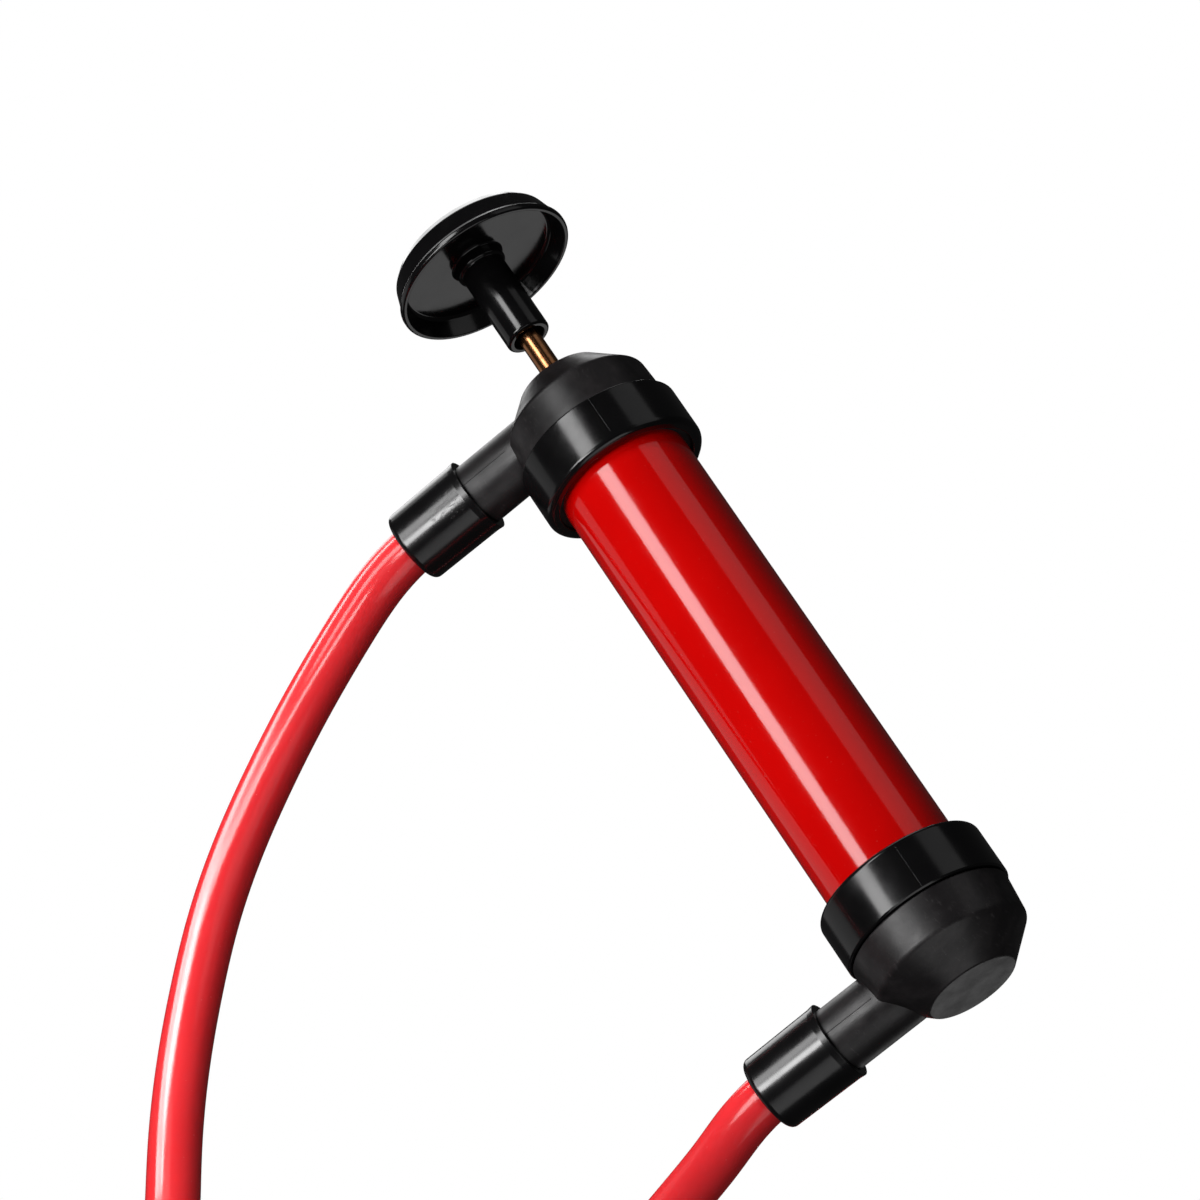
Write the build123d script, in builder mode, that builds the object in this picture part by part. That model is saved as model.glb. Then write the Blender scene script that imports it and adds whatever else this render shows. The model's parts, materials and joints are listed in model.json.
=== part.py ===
"""Hand transfer and inflation pump: a tube barrel with a screwed cap at each
end, a hose union on each cap, a piston on a plated rod and a round handle.

Millimetres. +Z runs along the barrel, handle up. The origin is the centre of
the bottom cap's flat face. Both hose ports point along -X.
"""
from build123d import *
import os
from math import radians, tan

os.makedirs("parts", exist_ok=True)

# ------------------------------------------------------- shared dimensions
body_len = 211.0                # bottom cap's flat face to the top cap's
top = body_len
tube_r = 19.0                   # barrel, outside
tube_bore = 17.5                # radius inside; every bore below is a radius too

# caps, collars and gaskets; heights are distances in from the cap's flat face
face_r = 12.8                   # flat face
shoulder_h = 9.4                # end of the cone
band_h = 20.55                  # end of the band, where the sleeve starts
sleeve_end = 33.0
sleeve_r = 21.6                 # threaded sleeve round the barrel
sleeve_bore = tube_r + 0.08
collar_start, collar_end = 20.8, 36.0
collar_r = 24.1
collar_bore = sleeve_r + 0.05
collar_mouth_r = 20.7
collar_lip = 1.4                # thickness of the lip at the mouth
gasket_t = 1.5
gasket_bore = 16.6

# side ports and hose unions; lengths are distances out from the barrel axis
lower_port_z, upper_port_z = 11.2, 201.0
stub_start, stub_end = 12.0, 36.3
stub_r = 9.3
thread_r = 9.0
thread_end = 47.5
port_bore = 4.2
washer_r, washer_t = 8.4, 1.8
flange_r, flange_t = 8.6, 2.7   # flange of the hose tail
flange_start = thread_end + washer_t
hose_start = flange_start + flange_t + 0.1
hose_r, hose_bore = 6.9, 4.5
tail_bore = 3.2
barb_r, barb_root_r = 4.45, 3.9

# piston and rod
piston_z = 41.5                 # underside of the piston at rest
piston_h = 14.0
piston_top = piston_z + piston_h
piston_r = tube_bore - 0.3
groove_r = 13.0                 # bottom of the seal groove
groove_0, groove_1 = piston_z + 4.5, piston_z + 9.5
rod_r = 3.1
rod_tip_r = 2.5                 # reduced end through the piston
rod_fit = 0.02                  # clearance of close-fitting pieces on the rod

pieces = {}                     # piece name -> part


# ----------------------------------------------------------------- helpers
def turned(outline, plane=Plane.XZ, axis=Axis.Z):
    """Revolve a closed outline about the axis.

    Each row is a corner (x, y) on the plane, with a fillet radius after it
    where the corner is rounded.
    """
    with BuildPart() as piece:
        with BuildSketch(plane) as section:
            with BuildLine():
                Polyline(*[row[:2] for row in outline], close=True)
            make_face()
            for x, y, radius in [row for row in outline if len(row) == 3]:
                fillet(section.vertices().sort_by_distance((x, y, 0))[0], radius)
        revolve(axis=axis)
    return piece.part


def ring(plane, outer_r, bore, length):
    """A flat ring, extruded along the plane's normal."""
    with BuildPart() as piece:
        with BuildSketch(plane):
            Circle(outer_r)
            Circle(bore, mode=Mode.SUBTRACT)
        extrude(amount=length)
    return piece.part


def hex_nut(z, corner_r, bore, height):
    """A plain hexagon nut on the barrel axis."""
    with BuildPart() as piece:
        with BuildSketch(Plane.XY.offset(z)):
            RegularPolygon(corner_r, 6)
            Circle(bore, mode=Mode.SUBTRACT)
        extrude(amount=height)
    return piece.part


def port_plane(distance, port_z):
    """Plane across a port's axis, that far out along -X; its normal is +X."""
    return Plane(origin=(-distance, 0, port_z), x_dir=(0, 1, 0), z_dir=(1, 0, 0))


# ------------------------------------------------------------------ barrel
with BuildPart() as barrel_tube:
    with BuildSketch(Plane.XY.offset(band_h + gasket_t)):
        Circle(tube_r)
        Circle(tube_bore, mode=Mode.SUBTRACT)
    extrude(amount=body_len - 2 * (band_h + gasket_t))
    chamfer(barrel_tube.edges().filter_by(GeomType.CIRCLE), 0.25)
pieces["barrel_tube"] = barrel_tube.part


# -------------------------------------------------------------------- caps
def cap_blank(face_z, inward, shoulder, band, port_z, bore_len):
    """Cap with its sleeve, side stub and port bore.

    inward is the Z direction into the barrel, +1 or -1; shoulder and band are
    (radius, fillet radius); bore_len is measured from the stub's outer end.
    """
    shoulder_r, shoulder_fillet = shoulder
    band_r, band_fillet = band
    shoulder_z = face_z + inward * shoulder_h
    band_z = face_z + inward * band_h
    sleeve_z = face_z + inward * sleeve_end
    body = turned([
        (0, face_z),
        (face_r, face_z, 0.9),
        (shoulder_r, shoulder_z, shoulder_fillet),
        (band_r, band_z, band_fillet),
        (sleeve_r, band_z),
        (sleeve_r, sleeve_z),
        (sleeve_bore, sleeve_z),
        (sleeve_bore, band_z),
        (0, band_z),
    ])
    with BuildPart() as blank:
        add(body)
        # side stub and its threaded end
        with BuildSketch(port_plane(stub_start, port_z)):
            Circle(stub_r)
        extrude(amount=-(stub_end - stub_start))
        with BuildSketch(port_plane(stub_end, port_z)):
            Circle(thread_r)
        extrude(amount=-(thread_end - stub_end))
        with BuildSketch(port_plane(thread_end, port_z)):
            Circle(port_bore)
        extrude(amount=bore_len, mode=Mode.SUBTRACT)
    return blank.part


riser_r = 3.9                   # air way up from the lower port to the inlet valve
pocket_z, pocket_r = 17.0, 10.0     # floor of the inlet valve pocket
valve_seat_r, valve_seat_h = 6.0, 0.6
screw_circle_r = 12.6           # circle of the retainer's three screws

bottom_blank = cap_blank(face_z=0, inward=1, shoulder=(22.3, 2.2), band=(23.4, 0.6),
                         port_z=lower_port_z, bore_len=thread_end + 3)
with BuildPart() as bottom_cap:
    add(bottom_blank)
    # riser and valve pocket
    with BuildSketch(Plane.XY.offset(lower_port_z)):
        Circle(riser_r)
    extrude(amount=band_h - lower_port_z, mode=Mode.SUBTRACT)
    with BuildSketch(Plane.XY.offset(pocket_z)):
        Circle(pocket_r)
    extrude(amount=band_h - pocket_z, mode=Mode.SUBTRACT)
    # raised valve seat
    with BuildSketch(Plane.XY.offset(pocket_z)):
        Circle(valve_seat_r)
        Circle(port_bore + 0.4, mode=Mode.SUBTRACT)
    extrude(amount=valve_seat_h)
    # pilot holes for the valve retainer's screws
    with BuildSketch(Plane.XY.offset(band_h)):
        with PolarLocations(screw_circle_r, 3, start_angle=90):
            Circle(1.0)
    extrude(amount=-5.0, mode=Mode.SUBTRACT)
pieces["bottom_cap"] = bottom_cap.part

gland_r = 6.0                   # bush, seal and gland nut spigot
rod_exit_depth = 2.0            # thickness of top face left above the gland bore
airway_x, airway_r = -12.0, 2.8     # air way beside the gland, port to barrel

top_blank = cap_blank(face_z=top, inward=-1, shoulder=(21.5, 1.8), band=(22.1, 0.25),
                      port_z=upper_port_z, bore_len=thread_end - 9.2)
with BuildPart() as top_cap:
    add(top_blank)
    with BuildSketch(Plane.XY.offset(top - band_h)):
        with Locations((airway_x, 0)):
            Circle(airway_r)
    extrude(amount=upper_port_z - (top - band_h), mode=Mode.SUBTRACT)
    # gland bore, and the rod's way out
    with BuildSketch(Plane.XY.offset(top - band_h)):
        Circle(gland_r + 0.05)
    extrude(amount=band_h - rod_exit_depth, mode=Mode.SUBTRACT)
    with BuildSketch(Plane.XY.offset(top - rod_exit_depth)):
        Circle(rod_r + 0.35)
    extrude(amount=rod_exit_depth, mode=Mode.SUBTRACT)
pieces["top_cap"] = top_cap.part

# ------------------------------- screwed collars, gaskets and grip rings
for end, face_z, inward in (("bottom", 0, 1), ("top", top, -1)):
    start_z = face_z + inward * collar_start
    mouth_z = face_z + inward * collar_end
    lip_inner_z = mouth_z - inward * collar_lip
    pieces[f"{end}_collar"] = turned([
        (collar_bore, start_z),
        (collar_r, start_z, 0.6),
        (collar_r, mouth_z, 2.9),
        (collar_mouth_r, mouth_z, 0.3),
        (collar_mouth_r, lip_inner_z),
        (collar_bore, lip_inner_z),
    ])
    pieces[f"{end}_gasket"] = ring(
        Plane.XY.offset(face_z + inward * band_h),
        sleeve_bore - 0.05, gasket_bore, inward * gasket_t)
    # the grip ring fills the space between sleeve and collar lip
    pieces[f"{end}_grip_ring"] = ring(
        Plane.XY.offset(face_z + inward * sleeve_end),
        collar_bore - 0.1, tube_r + 0.02, inward * (collar_end - collar_lip - sleeve_end))

# ------------------------------------------------------------- inlet valve
with BuildPart() as inlet_valve_disc:
    with BuildSketch(Plane.XY.offset(pocket_z + valve_seat_h)):
        Circle(8.8)
    extrude(amount=1.4)
    fillet(inlet_valve_disc.edges().filter_by(GeomType.CIRCLE), 0.3)
pieces["inlet_valve_disc"] = inlet_valve_disc.part

retainer_t = 1.6
screw_head_z = band_h + retainer_t
screw_head_h = 1.1

with BuildPart() as inlet_valve_retainer:
    with BuildSketch(Plane.XY.offset(band_h)):
        Circle(15.6)
        # six air holes, then three screw holes
        with PolarLocations(6.4, 6):
            Circle(2.1, mode=Mode.SUBTRACT)
        with PolarLocations(screw_circle_r, 3, start_angle=90):
            Circle(1.25, mode=Mode.SUBTRACT)
    extrude(amount=retainer_t)
    upper_face = inlet_valve_retainer.faces().sort_by(Axis.Z)[-1]
    chamfer(upper_face.edges().sort_by(SortBy.LENGTH)[-1], 0.4)
pieces["inlet_valve_retainer"] = inlet_valve_retainer.part

with BuildPart() as retainer_screws:
    # heads, shanks, then the cross slots
    with BuildSketch(Plane.XY.offset(screw_head_z)):
        with PolarLocations(screw_circle_r, 3, start_angle=90):
            Circle(1.9)
    extrude(amount=screw_head_h)
    with BuildSketch(Plane.XY.offset(screw_head_z)):
        with PolarLocations(screw_circle_r, 3, start_angle=90):
            Circle(0.95)
    extrude(amount=-6.0)
    with BuildSketch(Plane.XY.offset(screw_head_z + screw_head_h)):
        with PolarLocations(screw_circle_r, 3, start_angle=90):
            Rectangle(2.6, 0.5)
            Rectangle(0.5, 2.6)
    extrude(amount=-0.6, mode=Mode.SUBTRACT)
pieces["retainer_screws"] = retainer_screws.part

# --------------------------------------------------------------- rod gland
bush_depth = 12.0               # underside of the bush, below the top face
seal_depth = 15.5               # underside of the seal, below the top face
gland_gap = 0.1                 # between neighbours in the gland bore
gland_nut_bore = rod_r + 0.3

with BuildPart() as rod_bush:
    with BuildSketch(Plane.XY.offset(top - bush_depth)):
        Circle(gland_r)
        Circle(rod_r + 0.04, mode=Mode.SUBTRACT)
    extrude(amount=bush_depth - rod_exit_depth - gland_gap)
    lower_rims = rod_bush.edges().filter_by(GeomType.CIRCLE).group_by(Axis.Z)[0]
    chamfer(lower_rims.sort_by(SortBy.RADIUS)[-1], 0.5)
pieces["rod_bush"] = rod_bush.part

# lip seal with a V groove in its upper face
seal_z = top - seal_depth
seal_top = top - bush_depth - gland_gap
pieces["rod_seal"] = turned([
    (rod_r + rod_fit, seal_z),
    (gland_r, seal_z),
    (gland_r, seal_top),
    (5.2, seal_top),
    (4.7, top - 14.0),
    (4.2, seal_top),
    (rod_r + rod_fit, seal_top),
])

gland_hex_h = 1.7
with BuildPart() as gland_nut:
    with BuildSketch(Plane.XY.offset(top - band_h - gland_hex_h)):
        RegularPolygon(8.6, 6)
        Circle(gland_nut_bore, mode=Mode.SUBTRACT)
    extrude(amount=gland_hex_h)
    with BuildSketch(Plane.XY.offset(top - band_h)):
        Circle(gland_r)
        Circle(gland_nut_bore, mode=Mode.SUBTRACT)
    extrude(amount=band_h - seal_depth - gland_gap)
pieces["gland_nut"] = gland_nut.part

# ------------------------------------------------------------------ piston
piston_blank = turned([
    (0, piston_z),
    (piston_r, piston_z, 0.8),
    (piston_r, groove_0),
    (groove_r, groove_0),
    (groove_r, groove_1),
    (piston_r, groove_1),
    (piston_r, piston_top, 0.8),
    (0, piston_top),
])
with BuildPart() as piston_body:
    add(piston_blank)
    # rod hole and air holes
    with BuildSketch(Plane.XY.offset(piston_z)):
        Circle(rod_tip_r + 0.05)
        with PolarLocations(9.4, 6):
            Circle(1.8)
    extrude(amount=piston_h, mode=Mode.SUBTRACT)
    # recess for the nut and washer
    with BuildSketch(Plane.XY.offset(piston_z)):
        Circle(6.0)
    extrude(amount=5.0, mode=Mode.SUBTRACT)
pieces["piston_body"] = piston_body.part

# cup seal with a V groove in its upper face
seal_inner_r = groove_r + 0.05
seal_outer_r = tube_bore - 0.04
seal_0, seal_1 = groove_0 + 0.1, groove_1 - 0.1
pieces["piston_seal"] = turned([
    (seal_inner_r, seal_0),
    (tube_bore - 0.25, seal_0),
    (seal_outer_r, piston_z + 6.2),
    (seal_outer_r, seal_1),
    (16.2, seal_1),
    (15.4, piston_z + 6.4),
    (14.4, seal_1),
    (seal_inner_r, seal_1),
])

with BuildPart() as piston_valve_disc:
    with BuildSketch(Plane.XY.offset(piston_top)):
        Circle(12.2)
        Circle(rod_r + 0.2, mode=Mode.SUBTRACT)
    extrude(amount=1.4)
    upper_face = piston_valve_disc.faces().sort_by(Axis.Z)[-1]
    fillet(upper_face.edges().sort_by(SortBy.LENGTH)[-1], 0.4)
pieces["piston_valve_disc"] = piston_valve_disc.part

with BuildPart() as valve_stop:
    with BuildSketch(Plane.XY.offset(piston_top + 3.0)):
        Circle(9.0)
        Circle(rod_r, mode=Mode.SUBTRACT)
        with PolarLocations(6.2, 4):
            Circle(1.4, mode=Mode.SUBTRACT)
    extrude(amount=1.2)
pieces["valve_stop"] = valve_stop.part

pieces["piston_washer"] = ring(
    Plane.XY.offset(piston_z + 3.9), outer_r=5.6, bore=rod_tip_r + 0.05, length=1.0)
pieces["piston_nut"] = hex_nut(z=piston_z + 0.4, corner_r=4.6, bore=rod_tip_r, height=3.4)

# --------------------------------------------------------------------- rod
rod_inset = 0.2                 # rod tip above the piston's underside
rod_top = 263.6

with BuildPart() as piston_rod:
    with BuildSketch(Plane.XY.offset(piston_z + rod_inset)):
        Circle(rod_tip_r)
    extrude(amount=piston_h - rod_inset)
    with BuildSketch(Plane.XY.offset(piston_top)):
        Circle(rod_r)
    extrude(amount=rod_top - piston_top)
    chamfer(piston_rod.faces().sort_by(Axis.Z)[-1].edges(), 0.5)
    chamfer(piston_rod.faces().sort_by(Axis.Z)[0].edges(), 0.4)
pieces["piston_rod"] = piston_rod.part

# ------------------------------------------------------------------ handle
neck_r, neck_bore = 6.47, 4.6
neck_z = top + 17.6             # length of rod showing between cap and neck
hub_r = 7.3                     # step between neck and underside panel
panel_z = 258.0                 # underside panel
hub_z = panel_z - 3.0
lip_z, lip_r = 252.8, 26.4
rim_z, rim_r = 260.8, 23.9
recess_z, recess_r = 260.0, 7.5     # recess in the top for nut and plug
handle_top = 265.6

pieces["handle"] = turned([
    (neck_bore, neck_z),
    (neck_r, neck_z, 1.1),
    (neck_r, hub_z),
    (hub_r, hub_z, 0.6),
    (hub_r, panel_z, 0.6),
    (23.0, panel_z, 1.2),
    (24.9, lip_z, 0.5),
    (lip_r, lip_z, 0.7),
    (lip_r, lip_z + 1.6),
    (25.6, lip_z + 2.2),
    (rim_r, rim_z, 1.6),
    (21.8, rim_z + 2.6, 2.0),
    (recess_r, handle_top),
    (recess_r, recess_z),
    (rod_r + rod_fit, recess_z),
    (rod_r + rod_fit, neck_z + 6.5),
    (neck_bore, neck_z + 5.0),
])
pieces["handle_nut"] = hex_nut(z=recess_z, corner_r=5.7, bore=rod_r, height=3.2)

plug_z, plug_r = 264.2, recess_r - 0.05
pieces["handle_plug"] = turned([
    (0, plug_z),
    (plug_r, plug_z),
    (plug_r, handle_top),
    (4.5, handle_top + 0.5),
    (0, handle_top + 0.7),
])

# ------------------------------------------------------------- hose unions
nut_start, nut_end = stub_end + 0.2, 60.5
nut_start_r, nut_end_r = 11.1, 10.75
nut_bore = thread_r + 0.06
nut_hole = hose_r + 0.3
nut_step = hose_start - 0.05    # where the bore narrows to the hole
flange_end = flange_start + flange_t
tail_end = 61.5

# outlines on the plane through the port's axis: (-distance out, radius, fillet)
union_nut = [
    (-nut_start, nut_bore),
    (-nut_start, nut_start_r, 0.4),
    (-nut_end, nut_end_r, 2.2),
    (-nut_end, nut_hole, 0.4),
    (-nut_step, nut_hole),
    (-nut_step, nut_bore),
]
hose_tail = [
    (-flange_start, tail_bore),
    (-flange_start, flange_r),
    (-flange_end, flange_r),
    (-flange_end, barb_root_r),
    (-54.5, barb_root_r),
    (-54.5, barb_r),
    (-58.0, barb_root_r),
    (-58.0, barb_r),
    (-tail_end, 3.8),
    (-tail_end, tail_bore),
]
for level, port_z in (("upper", upper_port_z), ("lower", lower_port_z)):
    along_port = Plane(origin=(0, 0, port_z), x_dir=(1, 0, 0), z_dir=(0, -1, 0))
    port_axis = Axis((0, 0, port_z), (-1, 0, 0))
    pieces[f"{level}_hose_nut"] = turned(union_nut, along_port, port_axis)
    pieces[f"{level}_union_washer"] = ring(
        port_plane(thread_end, port_z), washer_r, port_bore, -washer_t)
    pieces[f"{level}_hose_tail"] = turned(hose_tail, along_port, port_axis)

# ------------------------------------------------------------------- hoses
floor_z = 7.1                   # hose centre where it lies on the ground
needle_x, needle_y = -290.0, 58.0   # free end of the upper hose

# corners of the hose centre line: x, y, z, bend radius (none at the two ends)
upper_corners = [
    (-hose_start, 0, upper_port_z, None),
    (-69.3, 0, upper_port_z, 28.5),
    (-108.9, -8.9, 179.5, 127),
    (-146.8, -32.0, 142.6, 165),
    (-173.0, -67.1, 87.9, 254),
    (-182.5, -109.9, 29.7, 114),
    (-188.6, -142.8, floor_z, 58),
    (-213.5, -197.8, floor_z, 41),
    (-265.8, -201.0, floor_z, 38),
    (needle_x, -154.5, floor_z, 100),
    (needle_x, needle_y, floor_z, None),
]
lower_corners = [
    (-hose_start, 0, lower_port_z, None),
    (-67.9, 0, lower_port_z, 28),
    (-79.1, 4.3, 8.2, 44),
    (-173.9, 49.8, floor_z, 110),
    (-203.0, 150.0, floor_z, 95),
    (-165.0, 222.0, floor_z, 70),
    (-88.0, 232.0, floor_z, None),
]


def hose_route(corners):
    """Straight runs and tangent bends of a hose through the given corners.

    Returns (start plane, length, None) for a run and
    (start plane, degrees, axis) for a bend.
    """
    points = [Vector(*row[:3]) for row in corners]
    radii = [row[3] for row in corners]
    route = []
    here = points[0]
    for i in range(1, len(points) - 1):
        heading = (points[i] - points[i - 1]).normalized()
        next_heading = (points[i + 1] - points[i]).normalized()
        angle = heading.get_angle(next_heading)
        cut = radii[i] * tan(radians(angle / 2))
        start = points[i] - heading * cut
        inward = (next_heading - heading * heading.dot(next_heading)).normalized()
        run = (start - here).length
        if run > 0.01:
            route.append((Plane(origin=here, z_dir=heading), run, None))
        bend_axis = Axis(start + inward * radii[i], heading.cross(inward))
        route.append((Plane(origin=start, z_dir=heading), angle, bend_axis))
        here = points[i] + next_heading * cut
    last = points[-1] - here
    route.append((Plane(origin=here, z_dir=last.normalized()), last.length, None))
    return route


def make_hose(corners):
    """Sweep the hose section piece by piece along its route."""
    route = hose_route(corners)
    with BuildPart() as hose:
        for plane, extent, bend_axis in route:
            with BuildSketch(plane):
                Circle(hose_r)
                Circle(hose_bore, mode=Mode.SUBTRACT)
            if bend_axis is None:
                extrude(amount=extent)
            else:
                revolve(axis=bend_axis, revolution_arc=extent)
    return hose.part


pieces["upper_hose"] = make_hose(upper_corners)
pieces["lower_hose"] = make_hose(lower_corners)

# -------------------------------------------- ball needle on the upper hose
# outlines from the hose end: (radius, distance along +Y)
hose_end = (needle_x, needle_y, floor_z)
needle_plane = Plane(origin=hose_end, x_dir=(1, 0, 0), z_dir=(0, 0, 1))
needle_axis = Axis(hose_end, (0, 1, 0))

pieces["needle_adapter"] = turned([
    (2.6, -14), (4.0, -14),
    (barb_r, -10.5), (barb_root_r, -10.5),
    (barb_r, -6.5), (barb_root_r, -6.5),
    (barb_root_r, 0.1), (6.6, 0.1),
    (6.6, 7.0), (5.4, 9.0),
    (5.4, 16.0), (4.06, 16.0),
    (4.06, 8.0), (2.6, 7.0),
], needle_plane, needle_axis)

needle_blank = turned([
    (0.55, 8.4), (4.0, 8.4),
    (4.0, 16.2), (4.9, 16.2),
    (4.9, 18.4), (2.4, 20.0),
    (1.2, 22.0), (1.2, 50.0),
    (0.8, 51.4), (0.55, 51.4),
], needle_plane, needle_axis)
with BuildPart() as ball_needle:
    add(needle_blank)
    # vent near the tip, opening upward
    with BuildSketch(needle_plane):
        with Locations((0, 47.0)):
            Circle(0.45)
    extrude(amount=3.0, mode=Mode.SUBTRACT)
pieces["ball_needle"] = ball_needle.part

# ------------------------------------------------------------------ export
for name, piece in pieces.items():
    piece.label = name
    export_step(piece, f"parts/{name}.step")
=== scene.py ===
# Upright hand pump: a red barrel between black caps and collars, a round handle on
# a copper-coloured rod, and two red hoses leaving the caps towards -X.
# The pump's axis is Z, its foot is near z = 0 and the camera is on the -Y side.
# Shapes are given in mm and built in metres; materials, lights and camera use metres.
import bpy
import bmesh
import json
import math
from mathutils import Vector, Matrix


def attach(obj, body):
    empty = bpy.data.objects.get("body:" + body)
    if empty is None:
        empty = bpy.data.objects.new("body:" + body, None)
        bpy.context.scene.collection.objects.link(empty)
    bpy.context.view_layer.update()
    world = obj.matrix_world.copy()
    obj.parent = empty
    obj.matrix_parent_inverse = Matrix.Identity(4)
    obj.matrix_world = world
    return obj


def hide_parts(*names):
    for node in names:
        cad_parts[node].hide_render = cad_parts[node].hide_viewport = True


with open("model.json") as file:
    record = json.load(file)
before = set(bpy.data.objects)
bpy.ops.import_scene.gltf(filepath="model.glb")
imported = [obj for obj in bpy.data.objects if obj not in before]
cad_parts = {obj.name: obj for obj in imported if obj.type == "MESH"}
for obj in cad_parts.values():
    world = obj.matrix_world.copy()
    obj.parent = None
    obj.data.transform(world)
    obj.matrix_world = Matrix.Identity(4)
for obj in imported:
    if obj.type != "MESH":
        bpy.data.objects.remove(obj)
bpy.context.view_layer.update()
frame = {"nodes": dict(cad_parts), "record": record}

nodes = frame["nodes"]
scene = bpy.context.scene

MM = 0.001
BODY_TOP = 211.0        # the top collar is measured down from here
UPPER_PORT_Z = 201.0    # heights of the two hose port axes
LOWER_PORT_Z = 11.2
PORTS = (("upper", UPPER_PORT_Z), ("lower", LOWER_PORT_Z))


# ---------------------------------------------------------------- mesh helpers
ARC_STEPS = 7           # steps in each rounded outline corner


def rounded(outline):
    """Closed 2D outline; a point with a third number is rounded by that radius."""
    points = []
    for i, point in enumerate(outline):
        if len(point) < 3:
            points.append(point)
            continue
        corner = Vector(point[:2])
        to_last = Vector(outline[i - 1][:2]) - corner
        to_next = Vector(outline[(i + 1) % len(outline)][:2]) - corner
        u, v = to_last.normalized(), to_next.normalized()
        half = u.angle(v) / 2
        # the arc may use just under half of each neighbouring edge
        cut = min(point[2] / math.tan(half), 0.49 * to_last.length, 0.49 * to_next.length)
        radius = cut * math.tan(half)
        centre = corner + (u + v).normalized() * (radius / math.sin(half))
        start, end = corner + u * cut - centre, corner + v * cut - centre
        sweep = start.angle(end)
        turn = 1 if start.x * end.y - start.y * end.x > 0 else -1
        for k in range(ARC_STEPS + 1):
            angle = sweep * k / ARC_STEPS * turn
            cos, sin = math.cos(angle), math.sin(angle)
            points.append((centre.x + start.x * cos - start.y * sin,
                           centre.y + start.x * sin + start.y * cos))
    return points


def skin(bm, rings, closed=True):
    """Joins each ring to the next; a ring may be one vertex repeated."""
    for i in range(len(rings) if closed else len(rings) - 1):
        ring, after = rings[i], rings[(i + 1) % len(rings)]
        for k in range(len(ring)):
            j = (k + 1) % len(ring)
            corners = list(dict.fromkeys((ring[k], ring[j], after[j], after[k])))
            if len(corners) >= 3:
                bm.faces.new(corners)


def finish_mesh(name, bm, sharp_angle):
    bmesh.ops.recalc_face_normals(bm, faces=bm.faces)
    mesh = bpy.data.meshes.new(name)
    bm.to_mesh(mesh)
    bm.free()
    for face in mesh.polygons:
        face.use_smooth = True
    mesh.set_sharp_from_angle(angle=math.radians(sharp_angle))
    ob = bpy.data.objects.new(name, mesh)
    scene.collection.objects.link(ob)
    normals = ob.modifiers.new("normals", "WEIGHTED_NORMAL")
    normals.keep_sharp = True
    normals.weight = 80
    return ob


def lathe(name, outline, port_z=None, segments=192):
    """Turns a closed outline about Z as (radius, height, rounding).

    With port_z it turns about that port's axis as (radius, distance towards -X, rounding).
    """
    bm = bmesh.new()
    rings = []
    for radius, along in rounded(outline):
        if radius < 1e-4:
            pole = (0, 0, along) if port_z is None else (-along, 0, port_z)
            rings.append([bm.verts.new(Vector(pole) * MM)] * segments)
            continue
        ring = []
        for k in range(segments):
            angle = 2 * math.pi * k / segments
            u, v = radius * math.cos(angle), radius * math.sin(angle)
            place = (u, v, along) if port_z is None else (-along, u, port_z + v)
            ring.append(bm.verts.new(Vector(place) * MM))
        rings.append(ring)
    skin(bm, rings)
    return finish_mesh(name, bm, sharp_angle=32)


def path_frames(path, across):
    """(tangent, x, y) at each path point; x starts near `across` and doesn't twist."""
    frames = []
    for i in range(len(path)):
        tangent = (path[min(len(path) - 1, i + 1)] - path[max(0, i - 1)]).normalized()
        across = (across - tangent * across.dot(tangent)).normalized()
        frames.append((tangent, across, tangent.cross(across)))
    return frames


def circle(bm, centre, x, y, radius, segments):
    angles = [2 * math.pi * k / segments for k in range(segments)]
    return [bm.verts.new((centre + (x * math.cos(a) + y * math.sin(a)) * radius) * MM)
            for a in angles]


def route(stations, step=3.0, smoothing_passes=14):
    """Evenly stepped path with tangent bends; stations are (x, y, z, bend radius)."""
    corners = [Vector(s[:3]) for s in stations]
    bends = [corners[0]]
    for i in range(1, len(corners) - 1):
        radius = stations[i][3]
        arriving = (corners[i] - corners[i - 1]).normalized()
        leaving = (corners[i + 1] - corners[i]).normalized()
        sweep = arriving.angle(leaving)
        start = corners[i] - arriving * (radius * math.tan(sweep / 2))
        inward = (leaving - arriving * arriving.dot(leaving)).normalized()
        centre = start + inward * radius
        count = max(4, int(radius * sweep / step))
        for k in range(count + 1):
            a = sweep * k / count
            bends.append(centre + (arriving * math.sin(a) - inward * math.cos(a)) * radius)
    bends.append(corners[-1])

    path = [bends[0]]
    for point in bends[1:]:
        start = path[-1]
        distance = (point - start).length
        if distance < 1e-3:
            continue
        count = max(1, round(distance / step))
        path += [start.lerp(point, k / count) for k in range(1, count + 1)]
    # two points at each end stay put, so the hose leaves its nut straight
    for _ in range(smoothing_passes):
        middle = [path[i] * 0.5 + (path[i - 1] + path[i + 1]) * 0.25
                  for i in range(2, len(path) - 2)]
        path = path[:2] + middle + path[-2:]
    return path


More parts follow.
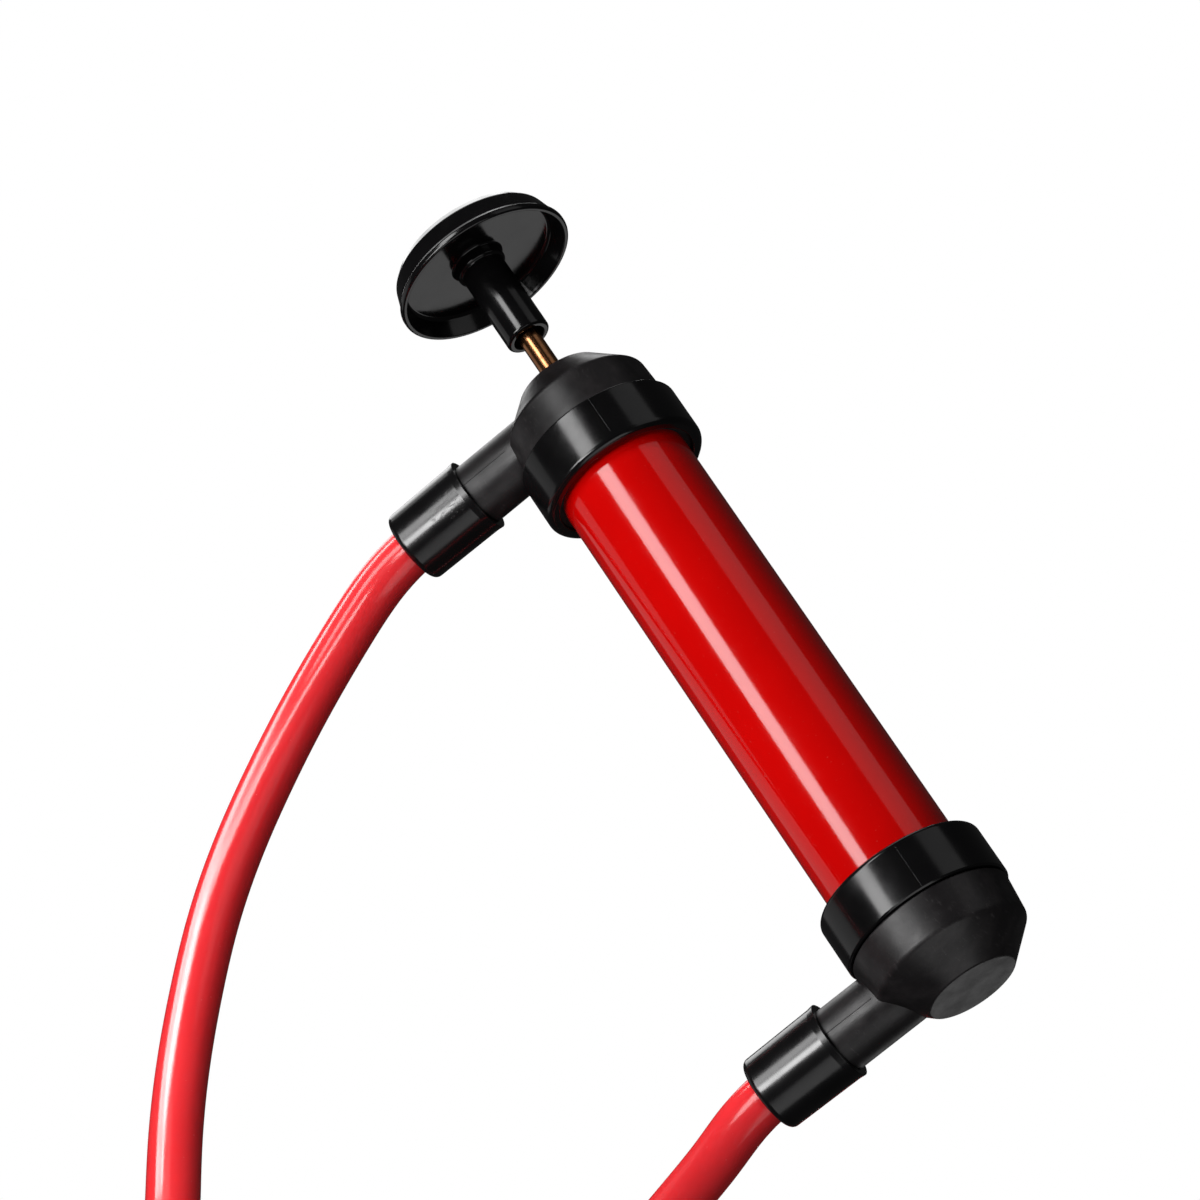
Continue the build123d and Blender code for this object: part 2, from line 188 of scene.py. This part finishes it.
def hose(name, path, outer, bore, segments=56):
    """Hollow hose along the path, with softened cut ends."""
    soft, soft_middle = 0.45, 0.15
    last = len(path) - 1
    # (path index, radius, shift along the path): out over the skin, back down the bore
    stations = [(0, bore, 0), (0, outer - soft, 0),
                (0, outer - soft_middle, soft_middle), (0, outer, soft)]
    stations += [(i, outer, 0) for i in range(1, last)]
    stations += [(last, outer, -soft), (last, outer - soft_middle, -soft_middle),
                 (last, outer - soft, 0), (last, bore, 0)]
    stations += [(i, bore, 0) for i in range(last - 1, 0, -1)]

    first_tangent = (path[1] - path[0]).normalized()
    frames = path_frames(path, Vector((0, 0, 1)).cross(first_tangent).normalized())
    bm = bmesh.new()
    rings = []
    for i, radius, shift in stations:
        tangent, x, y = frames[i]
        rings.append(circle(bm, path[i] + tangent * shift, x, y, radius, segments))
    skin(bm, rings)
    return finish_mesh(name, bm, sharp_angle=50)


def bead(name, path, radius, segments=8):
    """Thin solid line along a path."""
    path = [Vector(p) for p in path]
    frames = path_frames(path, (path[1] - path[0]).normalized().orthogonal().normalized())
    bm = bmesh.new()
    rings = [circle(bm, centre, x, y, radius, segments)
             for centre, (_, x, y) in zip(path, frames)]
    skin(bm, rings, closed=False)
    bm.faces.new(rings[0][::-1])
    bm.faces.new(rings[-1])
    return finish_mesh(name, bm, sharp_angle=60)


# ------------------------------------------------------------ material helpers
def add_node(tree, kind, inputs, **settings):
    """New shader node; each input is given a value or the socket that feeds it."""
    node = tree.nodes.new("ShaderNode" + kind)
    for key, value in settings.items():
        setattr(node, key, value)
    for key, value in inputs.items():
        plug(tree, node.inputs[key], value)
    return node


def plug(tree, socket, value):
    if isinstance(value, bpy.types.NodeSocket):
        tree.links.new(value, socket)
    else:
        socket.default_value = value


class Material:
    """Principled material with textures in object coordinates (metres)."""

    def __init__(self, name):
        self.material = bpy.data.materials.new(name)
        self.material.use_nodes = True
        self.tree = self.material.node_tree
        self.bsdf = self.tree.nodes["Principled BSDF"]
        self.place = self.node("TexCoord", {}).outputs["Object"]

    def node(self, kind, inputs, **settings):
        return add_node(self.tree, kind, inputs, **settings)

    def noise(self, scale, detail=4, rough=0.55, place=None):
        return self.node("TexNoise", {
            "Vector": place or self.place, "Scale": scale,
            "Detail": detail, "Roughness": rough}).outputs["Fac"]

    def streaks(self, stretch, detail, rough, turn=(0, 0, 0)):
        """Noise with its own scale on each axis; a low scale draws it out that way."""
        mapping = self.node("Mapping", {
            "Vector": self.place, "Scale": stretch, "Rotation": turn})
        return self.noise(1.0, detail, rough, mapping.outputs["Vector"])

    def ramp(self, factor, stops):
        """Colour ramp from {position: RGB}, in rising order."""
        node = self.node("ValToRGB", {"Fac": factor})
        elements = node.color_ramp.elements
        first, *middle, last = stops.items()
        for element, (position, colour) in zip(elements, (first, last)):
            element.position = position
            element.color = (*colour, 1)
        for position, colour in middle:
            elements.new(position).color = (*colour, 1)
        return node.outputs["Color"]

    def remap(self, value, start, end, low=0.0, high=1.0, **settings):
        return self.node("MapRange", {
            "From Min": start, "From Max": end, "To Min": low, "To Max": high,
            "Value": value}, **settings).outputs["Result"]

    def vary(self, noise, low, high):
        """Spreads the middle of a noise over low to high."""
        return self.remap(noise, 0.3, 0.7, low, high)

    def math(self, operation, a, b, clamp=False):
        return self.node("Math", {0: a, 1: b}, operation=operation, use_clamp=clamp).outputs[0]

    def add(self, a, b, clamp=False):
        return self.math("ADD", a, b, clamp)

    def times(self, a, b, clamp=False):
        return self.math("MULTIPLY", a, b, clamp)

    def tint(self, base, colour, mask, amount, clamp=False):
        """Mixes an RGB colour over the base where the mask is high."""
        factor = self.times(mask, amount, clamp)
        # 0, 6 and 7 are the factor and the two colours; output 2 is the mixed colour
        return self.node("Mix", {0: factor, 6: base, 7: (*colour, 1)},
                         data_type="RGBA").outputs[2]

    def worn_roughness(self, noise, low, high, wear, extra, clamp=False):
        """Roughness of low to high, with up to `extra` more where the wear mask is high."""
        return self.add(self.vary(noise, low, high), self.times(wear, extra), clamp)

    def bump(self, height, strength, distance, under=None):
        inputs = {"Strength": strength, "Distance": distance, "Height": height}
        if under is not None:
            inputs["Normal"] = under
        return self.node("Bump", inputs).outputs["Normal"]

    def near(self, centre, reach):
        """1 around the centre, fading to 0 at the reach."""
        distance = self.node("VectorMath", {0: self.place, 1: centre}, operation="DISTANCE")
        return self.remap(distance.outputs["Value"], reach * 0.35, reach, 1.0, 0.0)

    def surface(self, **inputs):
        """Sets Principled inputs, with underscores for spaces; returns the material."""
        for key, value in inputs.items():
            plug(self.tree, self.bsdf.inputs[key.replace("_", " ")], value)
        return self.material


# ------------------------------------------------------------------- materials
def red_barrel():
    m = Material("red_barrel_gloss")
    cloud = m.noise(scale=26, detail=3)
    colour = m.ramp(cloud, {0.3: (0.76, 0.0006, 0.0004), 0.7: (0.83, 0.0012, 0.0007)})
    # scratches along the axis and rub rings around it, both only in patches
    fine = m.streaks(stretch=(620, 620, 9), detail=5, rough=0.7)
    scratches = m.remap(fine, start=0.70, end=0.78)
    rings = m.streaks(stretch=(55, 55, 2600), detail=4, rough=0.6)
    rub = m.remap(rings, start=0.66, end=0.80)
    patches = m.remap(m.noise(scale=38, detail=2), start=0.48, end=0.66)
    marks = m.times(m.add(scratches, m.times(rub, 0.6), clamp=True), patches)
    colour = m.tint(colour, (0.86, 0.22, 0.17), marks, amount=0.16)
    dust = m.remap(m.noise(scale=1900, detail=2), start=0.735, end=0.76)
    colour = m.tint(colour, (0.9, 0.5, 0.45), dust, amount=0.22)
    rough = m.worn_roughness(m.noise(scale=90, detail=3), low=0.075, high=0.125,
                             wear=marks, extra=0.16)
    normal = m.bump(fine, strength=0.035, distance=0.0002)
    normal = m.bump(m.noise(scale=220, detail=2), strength=0.03, distance=0.0003, under=normal)
    return m.surface(Base_Color=colour, Roughness=rough, Normal=normal, IOR=1.5,
                     Coat_Weight=0.35, Coat_Roughness=0.05, Specular_IOR_Level=0.5)


def black_satin():
    m = Material("black_cap_satin")
    colour = m.ramp(m.noise(scale=60), {0.3: (0.0068, 0.0058, 0.0064),
                                        0.72: (0.0140, 0.0122, 0.0132)})
    grain = m.noise(scale=2600, detail=3, rough=0.6)
    flow = m.streaks(stretch=(90, 90, 420), detail=4, rough=0.6, turn=(0.2, 0.1, 0))
    scuff_lines = m.remap(m.streaks(stretch=(1500, 260, 500), detail=5, rough=0.7,
                                    turn=(0.3, 0.5, 0.8)), start=0.58, end=0.74)
    scuff_patches = m.remap(m.noise(scale=70, detail=2), start=0.42, end=0.62)
    scuff = m.times(scuff_lines, scuff_patches)
    rubbed = m.remap(m.streaks(stretch=(70, 210, 120), detail=4, rough=0.65,
                               turn=(0.5, 0.2, 0.9)), start=0.46, end=0.70)
    colour = m.tint(colour, (0.042, 0.0370, 0.0385), rubbed, amount=0.45)
    colour = m.tint(colour, (0.130, 0.120, 0.124), scuff, amount=0.40)
    rough = m.worn_roughness(m.noise(scale=140, detail=3), low=0.33, high=0.47,
                             wear=scuff, extra=0.12)
    normal = m.bump(grain, strength=0.16, distance=0.00006)
    normal = m.bump(flow, strength=0.16, distance=0.0003, under=normal)
    return m.surface(Base_Color=colour, Roughness=rough, Normal=normal,
                     Specular_IOR_Level=0.48)


def black_gloss(name, low, high, stretch=(900, 900, 60), spots=()):
    """Roughness runs low to high; spots are (centre, reach) of heavier scratching."""
    m = Material(name)
    colour = m.ramp(m.noise(scale=45, detail=3), {0.3: (0.0028, 0.0027, 0.0030),
                                                  0.72: (0.0060, 0.0057, 0.0062)})
    fine = m.streaks(stretch, detail=5, rough=0.7)
    scratches = m.remap(fine, start=0.68, end=0.76)
    wear = m.times(scratches, m.remap(m.noise(scale=60, detail=2), start=0.46, end=0.64))
    for centre, reach in spots:
        near = m.near(centre, reach)
        scrape = m.streaks(stretch=(260, 700, 900), detail=6, rough=0.8, turn=(0.5, 0.2, 0.4))
        spot = m.times(near, m.remap(scrape, start=0.50, end=0.60))
        wear = m.add(wear, m.times(spot, 2.6))
    colour = m.tint(colour, (0.20, 0.19, 0.19), wear, amount=0.17, clamp=True)
    rough = m.worn_roughness(m.noise(scale=120, detail=3), low, high,
                             wear=wear, extra=0.14, clamp=True)
    normal = m.bump(m.noise(scale=330, detail=2), strength=0.02, distance=0.00010)
    normal = m.bump(fine, strength=0.015, distance=0.00006, under=normal)
    return m.surface(Base_Color=colour, Roughness=rough, Normal=normal,
                     Specular_IOR_Level=0.5, Coat_Weight=0.15, Coat_Roughness=0.12)


def hose_vinyl():
    m = Material("hose_red_vinyl")
    colour = m.ramp(m.noise(scale=18, detail=3), {0.3: (0.72, 0.024, 0.030),
                                                  0.7: (0.79, 0.032, 0.039)})
    dust = m.remap(m.noise(scale=1100, detail=2), start=0.74, end=0.78)
    smear = m.remap(m.noise(scale=65, detail=4, rough=0.7), start=0.62, end=0.80)
    colour = m.tint(colour, (0.85, 0.42, 0.40), dust, amount=0.25)
    colour = m.tint(colour, (0.55, 0.012, 0.016), smear, amount=0.07)
    rough = m.worn_roughness(m.noise(scale=75, detail=3), low=0.13, high=0.19,
                             wear=smear, extra=0.10)
    normal = m.bump(m.noise(scale=260, detail=2), strength=0.006, distance=0.00005)
    normal = m.bump(m.noise(scale=30, detail=1), strength=0.025, distance=0.0004, under=normal)
    return m.surface(Base_Color=colour, Roughness=rough, Normal=normal,
                     Subsurface_Weight=0.18, Subsurface_Scale=0.004, IOR=1.52,
                     Subsurface_Radius=(1.0, 0.12, 0.1))


def copper_rod():
    m = Material("rod_copper_plate")
    along = m.streaks(stretch=(1500, 1500, 25), detail=5, rough=0.6)
    around = m.streaks(stretch=(40, 40, 3500), detail=3, rough=0.6)
    tarnish = m.noise(scale=170, detail=4, rough=0.65)
    colour = m.ramp(tarnish, {0.30: (0.28, 0.10, 0.04), 0.5: (0.56, 0.25, 0.11),
                              0.75: (0.74, 0.37, 0.17)})
    # the darkest tarnish is rougher
    rough = m.add(m.vary(along, low=0.13, high=0.30),
                  m.times(m.remap(tarnish, start=0.3, end=0.45, low=1.0, high=0.0), 0.12))
    normal = m.bump(along, strength=0.10, distance=0.0001)
    normal = m.bump(around, strength=0.05, distance=0.00006, under=normal)
    return m.surface(Base_Color=colour, Roughness=rough, Normal=normal, Metallic=1.0)


def rubber():
    m = Material("seal_rubber")
    return m.surface(
        Base_Color=m.ramp(m.noise(scale=300), {0.3: (0.010, 0.010, 0.010),
                                               0.7: (0.022, 0.021, 0.021)}),
        Roughness=m.vary(m.noise(scale=200, detail=3), low=0.6, high=0.8),
        Normal=m.bump(m.noise(scale=2500, detail=3), strength=0.2, distance=0.0001))


def acetal():
    m = Material("acetal_white")
    return m.surface(
        Base_Color=m.ramp(m.noise(scale=60), {0.3: (0.70, 0.69, 0.65),
                                              0.7: (0.80, 0.79, 0.75)}),
        Roughness=m.vary(m.noise(scale=200, detail=3), low=0.3, high=0.42),
        Normal=m.bump(m.noise(scale=1200, detail=3), strength=0.08, distance=0.0001),
        Subsurface_Weight=0.1, Subsurface_Scale=0.002)


def metal(name, dark, light, low, high):
    """Two RGB colours and a roughness range."""
    m = Material(name)
    turning = m.streaks(stretch=(300, 900, 2200), detail=4, rough=0.6)
    return m.surface(Base_Color=m.ramp(m.noise(scale=220), {0.3: dark, 0.7: light}),
                     Roughness=m.vary(turning, low, high),
                     Normal=m.bump(turning, strength=0.08, distance=0.00008), Metallic=1.0)


# scraped places on the -Y side of the upper nut: (centre, reach)
NUT_SCRAPES = [((-0.0425, -0.0104, 0.1985), 0.0048), ((-0.0470, -0.0108, 0.1990), 0.0026)]

MATERIALS = {
    "barrel_red": red_barrel(),
    "cap_black": black_satin(),
    "collar_black": black_gloss("black_collar_gloss", low=0.13, high=0.22),
    "nut_black": black_gloss("black_nut_gloss", low=0.17, high=0.24,
                             stretch=(60, 900, 900), spots=NUT_SCRAPES),
    "handle_black": black_gloss("black_handle_gloss", low=0.10, high=0.20),
    "hose_red": hose_vinyl(),
    "rod_copper": copper_rod(),
    "seal_rubber": rubber(),
    "acetal_white": acetal(),
    "steel": metal("steel_brushed", dark=(0.50, 0.50, 0.51), light=(0.66, 0.66, 0.66),
                   low=0.22, high=0.38),
    "brass": metal("brass_turned", dark=(0.62, 0.42, 0.15), light=(0.76, 0.55, 0.24),
                   low=0.18, high=0.34),
    "needle_chrome": metal("needle_plated", dark=(0.66, 0.66, 0.67), light=(0.78, 0.78, 0.79),
                           low=0.08, high=0.20),
}
record = frame["record"]
slot_of = {part["node"]: part["material_slot"] for part in record["subparts"]}
body_of = {node: body for body, members in record["behaviour"]["bodies"].items()
           for node in members}
for name, ob in nodes.items():
    ob.data.materials.clear()
    ob.data.materials.append(MATERIALS[slot_of[name]])


def stand_for(ob, node):
    """Puts a detailed mesh in place of a CAD piece."""
    ob.data.materials.append(MATERIALS[slot_of[node]])
    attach(ob, body_of[node])
    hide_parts(node)
    return ob


def add_to_body(ob, slot):
    """Adds a detail that no CAD piece has to the pump body."""
    ob.data.materials.append(MATERIALS[slot])
    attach(ob, "pump_body")


# ---------------------------------------------------------------------- barrel
stand_for(lathe("barrel_shell", [
    (17.5, 22.05), (19.0, 22.05, 0.25), (19.0, 188.95, 0.25), (17.5, 188.95)]), "barrel_tube")

# --------------------------------------------------------------------- collars
# radii, then distances in from the near end of the body
COLLAR_OUTER, COLLAR_BORE, COLLAR_LIP = 24.1, 21.65, 20.7
COLLAR_START, COLLAR_LEDGE, COLLAR_END = 20.8, 34.6, 36.0

stand_for(lathe("bottom_collar_ring", [
    (COLLAR_BORE, COLLAR_START), (23.75, COLLAR_START, 0.25), (COLLAR_OUTER, 21.3, 0.3),
    (COLLAR_OUTER, COLLAR_END, 1.5), (COLLAR_LIP, COLLAR_END, 0.35),
    (COLLAR_LIP, COLLAR_LEDGE), (COLLAR_BORE, COLLAR_LEDGE)]), "bottom_collar")
stand_for(lathe("top_collar_ring", [
    (COLLAR_BORE, BODY_TOP - COLLAR_START), (COLLAR_OUTER, BODY_TOP - COLLAR_START, 0.6),
    (COLLAR_OUTER, BODY_TOP - COLLAR_END, 3.4), (COLLAR_LIP, BODY_TOP - COLLAR_END, 0.5),
    (COLLAR_LIP, BODY_TOP - COLLAR_LEDGE), (COLLAR_BORE, BODY_TOP - COLLAR_LEDGE)]),
    "top_collar")

# ------------------------------------------------------------------- hose nuts
NUT_OUTLINE = [
    (9.06, 36.5), (11.24, 36.5, 0.12), (11.02, 38.4, 2.5), (10.75, 60.5, 2.3),
    (7.2, 60.5, 0.5), (7.2, 52.05), (9.06, 52.05)]
nuts = [stand_for(lathe(side + "_hose_nut_shell", NUT_OUTLINE, port_z, segments=144),
                  side + "_hose_nut") for side, port_z in PORTS]

# -------------------------------------------------------------- handle and rod
handle = stand_for(lathe("handle_shell", [
    (4.6, 228.6, 0.3), (6.47, 228.6, 1.3), (6.47, 254.6, 0.4), (7.3, 254.9, 0.7),
    (7.5, 258.0, 0.8), (22.9, 258.0, 1.4), (24.7, 253.6, 0.8), (25.0, 252.8, 0.35),
    (26.4, 252.8, 0.75), (26.4, 254.4, 0.7), (25.75, 255.2, 0.5), (24.1, 260.8, 1.7),
    (21.8, 263.4, 2.4), (7.5, 265.6, 0.3), (7.5, 260.0), (3.12, 260.0), (3.12, 235.1),
    (4.6, 233.6)]), "handle")

stand_for(lathe("rod_shell", [
    (0, 41.7), (2.1, 41.7), (2.5, 42.1), (2.5, 55.55), (3.1, 55.55, 0.1), (3.1, 263.1),
    (2.6, 263.6), (0, 263.6)], segments=96), "piston_rod")

# ----------------------------------------------------------------------- hoses
HOSE_START_X = -52.1
LYING_Z = 7.1           # centre height of a hose lying on the floor

# x, y, z, bend radius; the ends have no bend
HOSE_STATIONS = {
    "upper": [
        (HOSE_START_X, 0, UPPER_PORT_Z, 0), (-69.3, 0, UPPER_PORT_Z, 28.5),
        (-108.9, -8.9, 179.5, 127), (-146.8, -32.0, 142.6, 165), (-173.0, -67.1, 87.9, 254),
        (-182.5, -109.9, 29.7, 114), (-188.6, -142.8, LYING_Z, 58),
        (-213.5, -197.8, LYING_Z, 41), (-265.8, -201.0, LYING_Z, 38),
        (-290.0, -154.5, LYING_Z, 100), (-290.0, 58.0, LYING_Z, 0)],
    "lower": [
        (HOSE_START_X, 0, LOWER_PORT_Z, 0), (-67.9, 0, LOWER_PORT_Z, 28),
        (-79.1, 4.3, 8.2, 44), (-173.9, 49.8, LYING_Z, 110), (-203.0, 150.0, LYING_Z, 95),
        (-165.0, 222.0, LYING_Z, 70), (-88.0, 232.0, LYING_Z, 0)],
}
hoses = [stand_for(hose(side + "_hose_tube", route(stations), outer=6.9, bore=4.5),
                   side + "_hose") for side, stations in HOSE_STATIONS.items()]

# -------------------------------------------------------------- moulding flash
# along both sides of each port stub at mid height, and up each collar
for side, port_z in PORTS:
    for letter, y in (("a", -9.30), ("b", 9.30)):
        line = [(x, y, port_z) for x in (-21.5, -26, -31, -36.2)]
        add_to_body(bead(f"{side}_stub_flash_{letter}", line, radius=0.13), "cap_black")

FLASH_RADIUS = COLLAR_OUTER - 0.03      # slightly sunk into the collar
for end, z_low, z_high in (("bottom", 21.2, COLLAR_LEDGE),
                           ("top", BODY_TOP - 33.2, BODY_TOP - 21.3)):
    for letter, degrees in (("a", -70), ("b", 110)):
        x = FLASH_RADIUS * math.cos(math.radians(degrees))
        y = FLASH_RADIUS * math.sin(math.radians(degrees))
        line = [(x, y, z_low + (z_high - z_low) * k / 6) for k in range(7)]
        add_to_body(bead(f"{end}_collar_flash_{letter}", line, radius=0.09), "collar_black")


# ----------------------------------------------------------------------- floor
def floor_material():
    """Pale floor, brighter outwards, unseen from below and casting no shadow."""
    m = Material("floor_pale")
    backfacing = m.node("NewGeometry", {}).outputs["Backfacing"]
    shadow_ray = m.node("LightPath", {}).outputs["Is Shadow Ray"]
    hidden = m.math("MAXIMUM", backfacing, shadow_ray)
    clear = m.node("BsdfTransparent", {})
    distance = m.node("VectorMath", {0: m.place}, operation="LENGTH")
    glow = m.remap(distance.outputs["Value"], start=0.6, end=3.2, low=0.54, high=1.05,
                   interpolation_type="SMOOTHSTEP")
    m.surface(Base_Color=(0.50, 0.50, 0.50, 1), Roughness=0.75,
              Emission_Color=(1, 1, 1, 1), Emission_Strength=glow)
    shown = m.node("MixShader", {0: hidden, 1: m.bsdf.outputs[0], 2: clear.outputs[0]})
    plug(m.tree, m.tree.nodes["Material Output"].inputs["Surface"], shown.outputs[0])
    return m.material


floor_mesh = bpy.data.meshes.new("floor")
bm = bmesh.new()
bmesh.ops.create_grid(bm, x_segments=2, y_segments=2, size=7.0)
bm.to_mesh(floor_mesh)
bm.free()
floor = bpy.data.objects.new("floor", floor_mesh)
floor.location = (0, 0, -0.0006)
scene.collection.objects.link(floor)
floor.visible_diffuse = False
floor.visible_glossy = False
floor_mesh.materials.append(floor_material())

# ----------------------------------------------------------------------- world
# white to the camera, nearly dark as a light
world = bpy.data.worlds.new("studio")
scene.world = world
world.use_nodes = True
background = world.node_tree.nodes["Background"]
background.inputs["Color"].default_value = (1, 1, 1, 1)
camera_ray = add_node(world.node_tree, "LightPath", {}).outputs["Is Camera Ray"]
strength = add_node(world.node_tree, "MapRange", {
    "To Min": 0.022, "To Max": 1.0, "Value": camera_ray})
plug(world.node_tree, background.inputs["Strength"], strength.outputs["Result"])

# ---------------------------------------------------------------------- lights
PUMP_MIDDLE = (0, 0, 0.11)


def softbox(name, at, size, watts, lit, target=PUMP_MIDDLE, along=(0, 0, 1), roll=0.0):
    """Area light of (width, height) lighting only `lit`; its height follows `along`."""
    light = bpy.data.lights.new(name, "AREA")
    light.shape = "RECTANGLE"
    light.size, light.size_y = size
    light.energy = watts
    ob = bpy.data.objects.new(name, light)
    z = (Vector(at) - Vector(target)).normalized()
    x = Vector(along).cross(z).normalized()
    axes = Matrix((x, z.cross(x), z)).transposed()
    turned = axes @ Matrix.Rotation(math.radians(roll), 3, "Z")
    ob.matrix_world = Matrix.Translation(at) @ turned.to_4x4()
    scene.collection.objects.link(ob)
    receivers = bpy.data.collections.new(name + "_lights")
    for receiver in lit:
        receivers.objects.link(receiver)
    ob.light_linking.receiver_collection = receivers


pump = [o for o in scene.objects if o.type == "MESH" and o is not floor]
softbox("key_strip", (-0.29, -0.90, 0.50), size=(0.26, 1.05), watts=5.6, lit=pump, roll=-40)
softbox("front_low", (-0.25, -1.02, 0.14), size=(0.36, 0.30), watts=3.4, lit=pump)
softbox("left_fill", (-1.15, 0.10, 0.45), size=(0.75, 1.3), watts=0.9, lit=pump)
softbox("right_card", (1.15, -0.30, 0.25), size=(0.70, 1.3), watts=0.9, lit=pump)
softbox("top_soft", (0.1, 0.25, 1.35), size=(0.8, 0.8), watts=1.8, lit=pump)
softbox("under_soft", (0.10, -0.50, -1.00), size=(1.1, 0.9), watts=2.8, lit=pump)
softbox("back_low", (-0.20, 1.05, -0.38), size=(0.55, 0.45), watts=0.45,
        lit=[nodes["bottom_cap"], handle], target=(0, 0, 0))
softbox("back_fill", (-0.15, 0.80, 1.45), size=(0.8, 0.8), watts=4.5, lit=pump)
softbox("floor_wash", (0, 0, 2.4), size=(3.0, 3.0), watts=40.0, lit=[floor],
        target=(0, 0.001, 0), along=(0, 1, 0))
softbox("nut_line", (-0.25, -1.02, 0.10), size=(0.32, 0.24), watts=1.7, lit=nuts)
# long soft lines down the hoses
softbox("hose_line_front", (0.30, -0.80, 0.46), size=(0.12, 0.66), watts=2.6, lit=hoses,
        target=(-0.13, -0.03, 0.15), along=(0.05, 0.26, 0.5))
softbox("hose_line_top", (0.075, -0.395, 0.88), size=(0.13, 0.80), watts=3.3, lit=hoses,
        target=(-0.18, -0.11, 0.03), along=(-0.49, 0.45, 0.24))
softbox("hose_line_over", (-0.20, -0.20, 1.0), size=(0.16, 0.6), watts=2.6, lit=hoses,
        target=(-0.187, -0.13, 0.01), along=(-0.6, 0.3, 0))

# ---------------------------------------------------------------------- camera
# below the floor, looking up at the pump from the -Y side
CAMERA_PLACE = (0.2170807504, -1.1288394870, -0.4145536322)
CAMERA_AXES = (
    (0.7614179821, 0.4136286064, -0.4991533156),    # right
    (0.6204477564, -0.2418626896, 0.7460207912),    # up
    (0.1878489768, -0.8777322002, -0.4407935419),   # backward
)
lens = bpy.data.cameras.new("camera")
lens.sensor_fit = "HORIZONTAL"
lens.sensor_width = 36.0
lens.lens = 143.4996
lens.clip_start, lens.clip_end = 0.05, 20
camera = bpy.data.objects.new("camera", lens)
turn = Matrix(CAMERA_AXES).transposed().to_4x4()
camera.matrix_world = Matrix.Translation(CAMERA_PLACE) @ turn
scene.collection.objects.link(camera)
scene.camera = camera
scene.view_settings.view_transform = "Standard"
